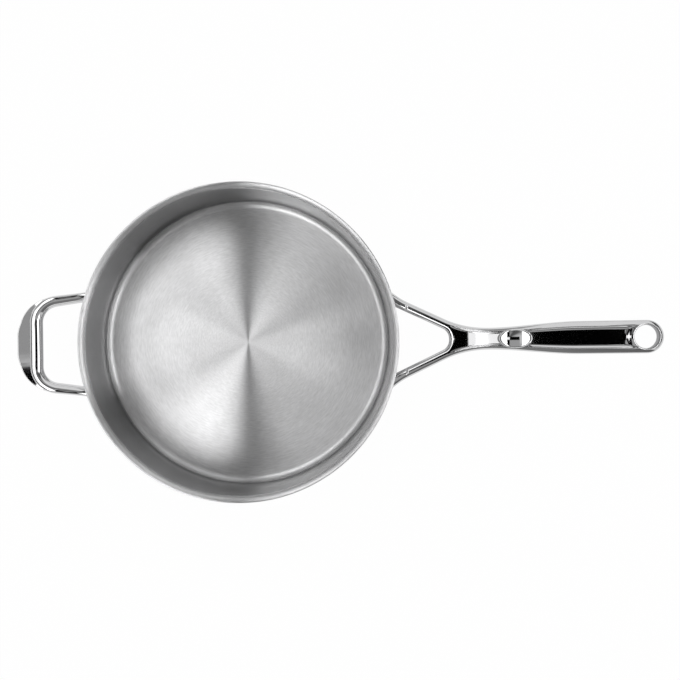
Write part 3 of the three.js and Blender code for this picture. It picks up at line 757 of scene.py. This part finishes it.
rest_radius = REST_WIDTH / 2
rest_top = rest_radius - REST_SHOULDER
rest_shoulder = REST_HEIGHT - REST_CROWN - REST_SHOULDER
rest_dome = [
    (rest_top * (1 - t), REST_HEIGHT - REST_CROWN * (1 - t) ** 2)
    for t in np.linspace(0, 1, REST_DOME_STEPS + 1)[1:]
]
rest_profile = [
    (0, -REST_ROOT),
    (rest_radius, -REST_ROOT),
    *straight((rest_radius, -REST_ROOT), (rest_radius, rest_shoulder), REST_SIDE_STEPS),
    *arc((rest_top, rest_shoulder), REST_SHOULDER, 0, math.pi / 2, REST_SHOULDER_STEPS),
    *rest_dome,
]
lid_rest = turned("lid_rest_stud", rest_profile, REST_TURNS, polished_steel)
rest_x = OUTER_RADIUS + REST_REACH
rest_level = handle_middle(rest_x) + RAIL_CROWN - TROUGH_DEPTH
for vertex in lid_rest.data.vertices:
    x = vertex.co.x * REST_LENGTH / REST_WIDTH
    seat = handle_middle(rest_x + x) - handle_middle(rest_x) - x * math.tan(REST_TILT)
    share = min((vertex.co.z + REST_ROOT) / (rest_shoulder + REST_ROOT), 1)
    vertex.co.z += seat * (1 - share) - REST_ARCH * (vertex.co.x / rest_radius) ** 2 * share
lid_rest.data.transform(
    Matrix.Translation((rest_x, 0, rest_level))
    @ Matrix.Rotation(-REST_TILT, 4, "Y")
    @ Matrix.Diagonal((REST_LENGTH / REST_WIDTH, 1, 1, 1))
)
face_out(lid_rest)
# Its steep flank gets the darker, rougher steel: painted shade on the flank.
lid_rest.data.materials.append(shaded_steel_finish)
for face in lid_rest.data.polygons:
    if face.normal.z < FLANK_TURN:
        face.material_index = 1
settle(lid_rest, "polished_steel", "lid_rest")

# Helper handle
# One polished casting: a round bar bent to a loop, with a flat thumb crescent along its outer side.
# Its two legs spread a little towards the wall, where they are welded.
HELPER_OFFSET = 0.0448
HELPER_REACH = 0.0441
HELPER_LEAN = math.radians(8.5)
HELPER_BEND = 0.020
HELPER_FOOT_HEIGHT = 0.063
HELPER_RISE = 0.009
BAR_WIDTH = 0.0104
BAR_LEG_WIDTH = 0.008
BAR_HEIGHT = 0.009
BAR_LEAN = 0.35
CRESCENT_REACH = 0.012
CRESCENT_FULL = 0.008
CRESCENT_END = 0.0445
CRESCENT_SHEET = 0.003
CRESCENT_DROP = 0.0012
CRESCENT_EDGE = 0.00075
CRESCENT_SHARES = (0.04, 0.3, 0.65, 0.96)
HELPER_STEPS = 90
BEND_STEPS = 400
BELOW_POINTS, ABOVE_POINTS, CRESCENT_EDGE_POINTS = 22, 24, 11
TANGENT_REACH = 1e-4

helper_x = -(OUTER_RADIUS + HELPER_REACH)
helper_foot = on_wall(HELPER_OFFSET, FOOT_RADIUS) * [-1, 1]


def helper_line():
    """Points of the bar's centre line from the loop's middle to the wall, and how far along each lies."""
    turn = math.pi / 2 - HELPER_LEAN
    corner_y = HELPER_OFFSET - (helper_foot[0] - helper_x) * math.tan(HELPER_LEAN)
    arc_y = corner_y - HELPER_BEND * math.tan(turn / 2)
    bend = arc((helper_x + HELPER_BEND, arc_y), HELPER_BEND, math.pi, math.pi - turn, BEND_STEPS)
    points = np.array([(helper_x, 0), *bend, helper_foot])
    return points, np.concatenate([[0], np.cumsum(np.hypot(*np.diff(points, axis=0).T))])


def helper_section(distance, reach):
    """The bar's section as outward and upward offsets, with the crescent drawn out of its outer side."""
    crescent = CRESCENT_REACH * (1 - smooth(distance, CRESCENT_FULL, CRESCENT_END))
    taper = smooth(distance, CRESCENT_FULL, reach)
    half_width = (BAR_WIDTH + (BAR_LEG_WIDTH - BAR_WIDTH) * taper) / 2
    half_height = BAR_HEIGHT / 2
    over = CRESCENT_SHEET / 2 - CRESCENT_DROP
    under = over - CRESCENT_SHEET

    def on_bar(angle):
        height = half_height * math.sin(angle)
        return half_width * math.cos(angle) + BAR_LEAN * height, height

    under_angle = -math.acos(min(1, math.sqrt(1 - (under / half_height) ** 2)))
    over_angle = math.asin(over / half_height)
    below = [on_bar(a) for a in np.linspace(-math.pi, under_angle, BELOW_POINTS)]
    above = [on_bar(a) for a in np.linspace(over_angle, math.pi, ABOVE_POINTS)][:-1]
    root_under, root_over = below[-1], above[0]
    rim = half_width + crescent
    middle = (over + under) / 2
    half_sheet = CRESCENT_SHEET / 2
    lip = [
        (rim + CRESCENT_EDGE * math.cos(a), middle + half_sheet * math.sin(a))
        for a in np.linspace(-math.pi / 2, math.pi / 2, CRESCENT_EDGE_POINTS)
    ]

    def between(start, end):
        return [tuple(np.add(np.multiply(start, 1 - t), np.multiply(end, t))) for t in CRESCENT_SHARES]

    return np.array([*below, *between(root_under, lip[0]), *lip, *between(lip[-1], root_over), *above])


def helper_rings():
    """Rings of points round one half of the bar, from the loop's middle to the wall."""
    points, run = helper_line()
    reach = run[-1]

    def at(distance):
        return np.array([np.interp(distance, run, points[:, k]) for k in (0, 1)])

    rings = []
    for i in range(HELPER_STEPS + 1):
        distance = reach * i / HELPER_STEPS
        middle = at(distance)
        ahead, behind = at(min(distance + TANGENT_REACH, reach)), at(max(distance - TANGENT_REACH, 0))
        tangent = (ahead - behind) / np.linalg.norm(ahead - behind)
        from_wall = smooth(helper_foot[0] - middle[0], 0, helper_foot[0] - helper_x)
        height = HELPER_FOOT_HEIGHT + HELPER_RISE * from_wall
        section = helper_section(distance, reach)
        place = middle + section[:, :1] * [-tangent[1], tangent[0]]
        if i == HELPER_STEPS:
            place[:, 0] = -np.sqrt(FOOT_RADIUS**2 - place[:, 1] ** 2)
        rings.append(np.column_stack([place, height + section[:, 1]]))
    return np.array(rings)


def lofted(name, rings, finish):
    """A closed piece through rings of points, with a fan at each end."""
    count, sides = rings.shape[:2]
    vertices = np.concatenate([rings.reshape(-1, 3), [rings[0].mean(0), rings[-1].mean(0)]])
    faces = []
    for i in range(count - 1):
        for k in range(sides):
            after = (k + 1) % sides
            faces.append((i * sides + k, i * sides + after, (i + 1) * sides + after, (i + 1) * sides + k))
    last = (count - 1) * sides
    for k in range(sides):
        after = (k + 1) % sides
        faces.append((count * sides, after, k))
        faces.append((count * sides + 1, last + k, last + after))
    return merged_piece(name, vertices, faces, finish)


helper_half = helper_rings()
helper_other = helper_half[:0:-1] * [1, -1, 1]
helper = lofted("helper_handle_casting", np.concatenate([helper_other, helper_half]), polished_steel)
settle(helper, "polished_steel", "helper_handle")

# Weld fillets
# A bead of filler metal round each foot of the two handles, where the casting meets the vessel's wall.
# Each bead is laid in small overlapping pools, then brushed bright.
WELD_LEG = 0.0022
WELD_RADIUS = 0.0016
POOL_LENGTH = 0.0016
POOL_SWELL = 0.07
BEAD_STEPS = 240
BEAD_SIDES = 16
SHORTEST_RUN = 1e-9


def bead_tree():
    """A tree that lays a bead along a closed line, swelling and shrinking pool by pool."""
    tree = bpy.data.node_groups.new("weld_bead", "GeometryNodeTree")
    tree.interface.new_socket("Line", in_out="INPUT", socket_type="NodeSocketGeometry")
    tree.interface.new_socket("Bead Radius", in_out="INPUT", socket_type="NodeSocketFloat")
    tree.interface.new_socket("Pool Length", in_out="INPUT", socket_type="NodeSocketFloat")
    tree.interface.new_socket("Pool Swell", in_out="INPUT", socket_type="NodeSocketFloat")
    tree.interface.new_socket("Finish", in_out="INPUT", socket_type="NodeSocketMaterial")
    tree.interface.new_socket("Bead", in_out="OUTPUT", socket_type="NodeSocketGeometry")
    given = tree.nodes.new("NodeGroupInput")
    line = tree.nodes.new("GeometryNodeMeshToCurve")
    even = add(tree, "GeometryNodeResampleCurve", Count=BEAD_STEPS)
    along = tree.nodes.new("GeometryNodeSplineParameter")
    phase = add(tree, "ShaderNodeMath", operation="DIVIDE")
    turn = add(tree, "ShaderNodeMath", operation="MULTIPLY")
    turn.inputs[1].default_value = 2 * math.pi
    wave = add(tree, "ShaderNodeMath", operation="SINE")
    swell = add(tree, "ShaderNodeMath", operation="MULTIPLY_ADD")
    swell.inputs[2].default_value = 1
    bead = add(tree, "GeometryNodeCurvePrimitiveCircle", Resolution=BEAD_SIDES)
    sweep = tree.nodes.new("GeometryNodeCurveToMesh")
    realize = tree.nodes.new("GeometryNodeRealizeInstances")
    finish = tree.nodes.new("GeometryNodeSetMaterial")
    made = tree.nodes.new("NodeGroupOutput")
    link_to(line.inputs["Mesh"], given, "Line")
    link_to(even.inputs["Curve"], line)
    link_to(phase.inputs[0], along, "Length")
    link_to(phase.inputs[1], given, "Pool Length")
    link_to(turn.inputs[0], phase)
    link_to(wave.inputs[0], turn)
    link_to(swell.inputs[0], wave)
    link_to(swell.inputs[1], given, "Pool Swell")
    link_to(bead.inputs["Radius"], given, "Bead Radius")
    link_to(sweep.inputs["Curve"], even)
    link_to(sweep.inputs["Profile Curve"], bead)
    link_to(sweep.inputs["Scale"], swell)
    link_to(realize.inputs["Geometry"], sweep)
    link_to(finish.inputs["Geometry"], realize)
    link_to(finish.inputs["Material"], given, "Finish")
    link_to(made.inputs["Bead"], finish)
    return tree


BEAD = bead_tree()


def weld_bead(name, ring, finish, node):
    """A bead round a foot, whose end on the wall is a ring of points in order."""
    after, before = np.roll(ring, -1, axis=0), np.roll(ring, 1, axis=0)
    away = np.column_stack([np.zeros(len(ring)), after[:, 2] - before[:, 2], before[:, 1] - after[:, 1]])
    length = np.linalg.norm(away, axis=1, keepdims=True)
    kept = length[:, 0] > SHORTEST_RUN
    ring, away = ring[kept], away[kept] / length[kept]
    line = ring + away * WELD_LEG / 3
    side = math.copysign(1, ring[:, 0].mean())
    line[:, 0] = side * np.sqrt((FOOT_RADIUS + WELD_LEG / 3) ** 2 - line[:, 1] ** 2)
    mesh = bpy.data.meshes.new(name + "_line")
    mesh.from_pydata(line.tolist(), [(i, (i + 1) % len(line)) for i in range(len(line))], [])
    maker = bpy.data.objects.new(name + "_maker", mesh)
    bpy.context.collection.objects.link(maker)
    modifier = maker.modifiers.new("bead", "NODES")
    modifier.node_group = BEAD
    given = {"Bead Radius": WELD_RADIUS, "Pool Length": POOL_LENGTH, "Pool Swell": POOL_SWELL}
    given["Finish"] = finish
    for socket in BEAD.interface.items_tree:
        if socket.name in given:
            modifier[socket.identifier] = given[socket.name]
    piece = plain_mesh(maker, name)
    face_out(piece)
    settle(piece, "weld_steel", node)


bead_steel = rolled("brushed_bead_steel", WELD_STEEL, roughness=0.26)
handle_foot = np.concatenate([handle_undersides[0], handle_tops[0][::-1]])
helper_foot_ring = helper_half[-1]
mirror = np.array([1, -1, 1])
weld_bead("long_handle_bead_left", handle_foot, bead_steel, "long_handle_weld_left")
weld_bead("long_handle_bead_right", handle_foot[::-1] * mirror, bead_steel, "long_handle_weld_right")
weld_bead("helper_bead_left", helper_foot_ring, bead_steel, "helper_weld_left")
weld_bead("helper_bead_right", helper_foot_ring[::-1] * mirror, bead_steel, "helper_weld_right")

# Studio
# A white floor under a flat ceiling of light, with far banks all round and softboxes on the helper's side.
# Dark flags hang round the camera's place, and the steel mirrors them as its dark bands.
STUDIO_FLOOR_LEVEL = -0.0005
STUDIO_FLOOR_SIZE = 8.0
STUDIO_FLOOR_WHITE = (0.86, 0.86, 0.86, 1)
STUDIO_FLOOR_GLOW = 0.98
CEILING_LEVEL = 0.95
CEILING_SIZE = 6.0
WHITE = (1, 1, 1, 1)
WALL_LIGHT = 0.6
BACKDROP_LIGHT = 1.0
CAMERA_HEIGHT = RIM_LEVEL + 0.700
CAMERA_PLACE = (0.0918, 0.0007, CAMERA_HEIGHT)
CAMERA_ROLL = math.radians(-0.8)
FOCAL_PIXELS = 775.2
FRAME_PIXELS = 680
NEAREST_SEEN = 0.01

# The far banks of light round the ceiling: their bearing from FAN_POINT in degrees, and their brightness.
FAN_POINT = (-0.106, 0.0)
FAR_BANKS = [
    (-180, 0.15), (-144, 0.12), (-132, 0.15), (-124, 1.70), (-114, 1.60), (-106, 0.60),
    (-98, 0.25), (-82, 0.25), (-66, 0.20), (-44, 0.15), (-40, 0.80), (-33, 0.70),
    (-25, 0.45), (-12, 0.75), (8, 0.75), (16, 0.50), (24, 0.15), (40, 0.10),
    (47, 0.20), (60, 0.40), (74, 0.20), (82, 0.35), (98, 0.35), (108, 0.90),
    (125, 0.85), (140, 0.60), (160, 0.50), (168, 0.15), (180, 0.15),
]
# The panels laid over them, each covering those before it: reach in x and y, softness of edge, brightness.
PANELS = [
    ("far corner", (-4.0, -0.70), (0.70, 4.0), 0.10, 0.30),
    ("near corner", (-4.0, -0.70), (-4.0, -0.62), 0.10, 0.08),
    ("far bank", (-0.20, 1.20), (0.55, 2.50), 0.15, 0.95),
    ("right softbox", (0.60, 1.25), (-0.50, 0.32), 0.10, 3.5),
    ("right shade", (1.30, 4.0), (-0.60, 0.60), 0.10, 0.12),
    ("camera shade", (-0.16, 0.45), (-0.60, 0.0), 0.06, 0.45),
    ("flag", (-0.195, -0.042), (-0.80, 0.80), 0.02, 0.0),
    ("gap in the flag", (-0.20, -0.03), (-0.045, 0.045), 0.03, 1.3),
    ("camera slot", (-0.035, 0.44), (-0.06, 0.06), 0.03, 0.0),
    ("far softbox", (-0.90, -0.46), (-0.60, 0.30), 0.04, 2.2),
    ("softbox", (-0.48, -0.174), (-0.70, 0.70), 0.02, 1.9),
    ("near softbox", (-0.48, -0.174), (-0.70, -0.12), 0.02, 2.9),
    ("near softbox edge", (-0.48, -0.174), (-0.70, -0.21), 0.04, 3.8),
    ("far softbox edge", (-0.48, -0.174), (0.19, 0.70), 0.04, 2.8),
    ("left softbox", (-0.48, -0.34), (-0.21, 0.19), 0.03, 3.7),
    ("pad shade", (-0.64, -0.48), (-0.035, 0.30), 0.03, 0.40),
    ("pad flag", (-0.64, -0.48), (-0.35, -0.035), 0.03, 0.0),
]


def studio_plane(name, size, level):
    mesh = bpy.data.meshes.new(name)
    reach = size / 2
    corners = [(-reach, -reach, level), (reach, -reach, level), (reach, reach, level), (-reach, reach, level)]
    mesh.from_pydata(corners, [], [(0, 1, 2, 3)])
    plane = bpy.data.objects.new(name, mesh)
    bpy.context.collection.objects.link(plane)
    finish = bpy.data.materials.new(name)
    finish.use_nodes = True
    finish.node_tree.nodes.clear()
    mesh.materials.append(finish)
    return plane, finish.node_tree


def seen_rays(tree):
    """1 for rays from the camera and for those off shiny metal, and 0 for the rest."""
    rays = add(tree, "ShaderNodeLightPath")
    seen = add(tree, "ShaderNodeMath", operation="MAXIMUM")
    link_to(seen.inputs[0], rays, "Is Camera Ray")
    link_to(seen.inputs[1], rays, "Is Glossy Ray")
    return seen


floor_tree = studio_plane("studio_floor", STUDIO_FLOOR_SIZE, STUDIO_FLOOR_LEVEL)[1]
matt = add(floor_tree, "ShaderNodeBsdfDiffuse", Color=STUDIO_FLOOR_WHITE)
glow = add(floor_tree, "ShaderNodeEmission", Strength=1.0)
share = add(floor_tree, "ShaderNodeMath", operation="MULTIPLY")
share.inputs[1].default_value = STUDIO_FLOOR_GLOW
link_to(share.inputs[0], seen_rays(floor_tree))
both = add(floor_tree, "ShaderNodeMixShader")
link_to(both.inputs[0], share)
link_to(both.inputs[1], matt)
link_to(both.inputs[2], glow)
link_to(add(floor_tree, "ShaderNodeOutputMaterial").inputs["Surface"], both)

ceiling, ceiling_tree = studio_plane("studio_ceiling", CEILING_SIZE, CEILING_LEVEL)
ceiling.visible_camera = False


def edge(axis, place, softness, rising):
    """A soft edge across the ceiling: 0 to 1 at a place when rising, and 1 to 0 otherwise."""
    step = add(ceiling_tree, "ShaderNodeMapRange", interpolation_type="SMOOTHSTEP")
    step.inputs["From Min"].default_value = place - softness / 2
    step.inputs["From Max"].default_value = place + softness / 2
    step.inputs["To Min"].default_value = 0 if rising else 1
    step.inputs["To Max"].default_value = 1 if rising else 0
    link_to(step.inputs["Value"], ceiling_place, axis)
    return step


ceiling_coordinates = add(ceiling_tree, "ShaderNodeTexCoord")
ceiling_place = add(ceiling_tree, "ShaderNodeSeparateXYZ")
link_to(ceiling_place.inputs[0], ceiling_coordinates, "Object")
from_fan = add(ceiling_tree, "ShaderNodeVectorMath", operation="SUBTRACT")
from_fan.inputs[1].default_value = (*FAN_POINT, 0)
link_to(from_fan.inputs[0], ceiling_coordinates, "Object")
fan_place = add(ceiling_tree, "ShaderNodeSeparateXYZ")
link_to(fan_place.inputs[0], from_fan)
bearing = add(ceiling_tree, "ShaderNodeMath", operation="ARCTAN2")
link_to(bearing.inputs[0], fan_place, "Y")
link_to(bearing.inputs[1], fan_place, "X")
turn = add(ceiling_tree, "ShaderNodeMapRange")
turn.inputs["From Min"].default_value = -math.pi
turn.inputs["From Max"].default_value = math.pi
link_to(turn.inputs["Value"], bearing)
brightness = add(ceiling_tree, "ShaderNodeValToRGB")
banks = brightness.color_ramp.elements
while len(banks) < len(FAR_BANKS):
    banks.new(0.5)
for bank, (degrees, level) in zip(banks, FAR_BANKS):
    bank.position = (degrees + 180) / 360
    bank.color = (level, level, level, 1)
link_to(brightness.inputs[0], turn)
for label, (left, right), (near, far), softness, level in PANELS:
    cover = edge("X", left, softness, True)
    for axis, place, rising in (("X", right, False), ("Y", near, True), ("Y", far, False)):
        overlap = add(ceiling_tree, "ShaderNodeMath", operation="MULTIPLY", label=label)
        link_to(overlap.inputs[0], cover)
        link_to(overlap.inputs[1], edge(axis, place, softness, rising))
        cover = overlap
    panel = add(ceiling_tree, "ShaderNodeMix", data_type="FLOAT", label=label)
    panel.inputs["B"].default_value = level
    link_to(panel.inputs["Factor"], cover)
    link_to(panel.inputs["A"], brightness)
    brightness = panel
ceiling_light = add(ceiling_tree, "ShaderNodeEmission")
link_to(ceiling_light.inputs["Strength"], brightness)
link_to(add(ceiling_tree, "ShaderNodeOutputMaterial").inputs["Surface"], ceiling_light)

world = bpy.data.worlds.new("studio_walls")
world.use_nodes = True
bpy.context.scene.world = world
walls = world.node_tree
walls.nodes.clear()
wall_light = add(walls, "ShaderNodeBackground", Color=WHITE, Strength=WALL_LIGHT)
backdrop = add(walls, "ShaderNodeBackground", Color=WHITE, Strength=BACKDROP_LIGHT)
either = add(walls, "ShaderNodeMixShader")
link_to(either.inputs[0], seen_rays(walls))
link_to(either.inputs[1], wall_light)
link_to(either.inputs[2], backdrop)
link_to(add(walls, "ShaderNodeOutputWorld").inputs["Surface"], either)

camera = bpy.data.objects.new("camera", bpy.data.cameras.new("camera"))
bpy.context.collection.objects.link(camera)
camera.location = CAMERA_PLACE
camera.rotation_euler = (0, 0, CAMERA_ROLL)
camera.data.lens = camera.data.sensor_width * FOCAL_PIXELS / FRAME_PIXELS
camera.data.clip_start = NEAREST_SEEN
bpy.context.scene.camera = camera
bpy.context.scene.view_settings.view_transform = "Standard"
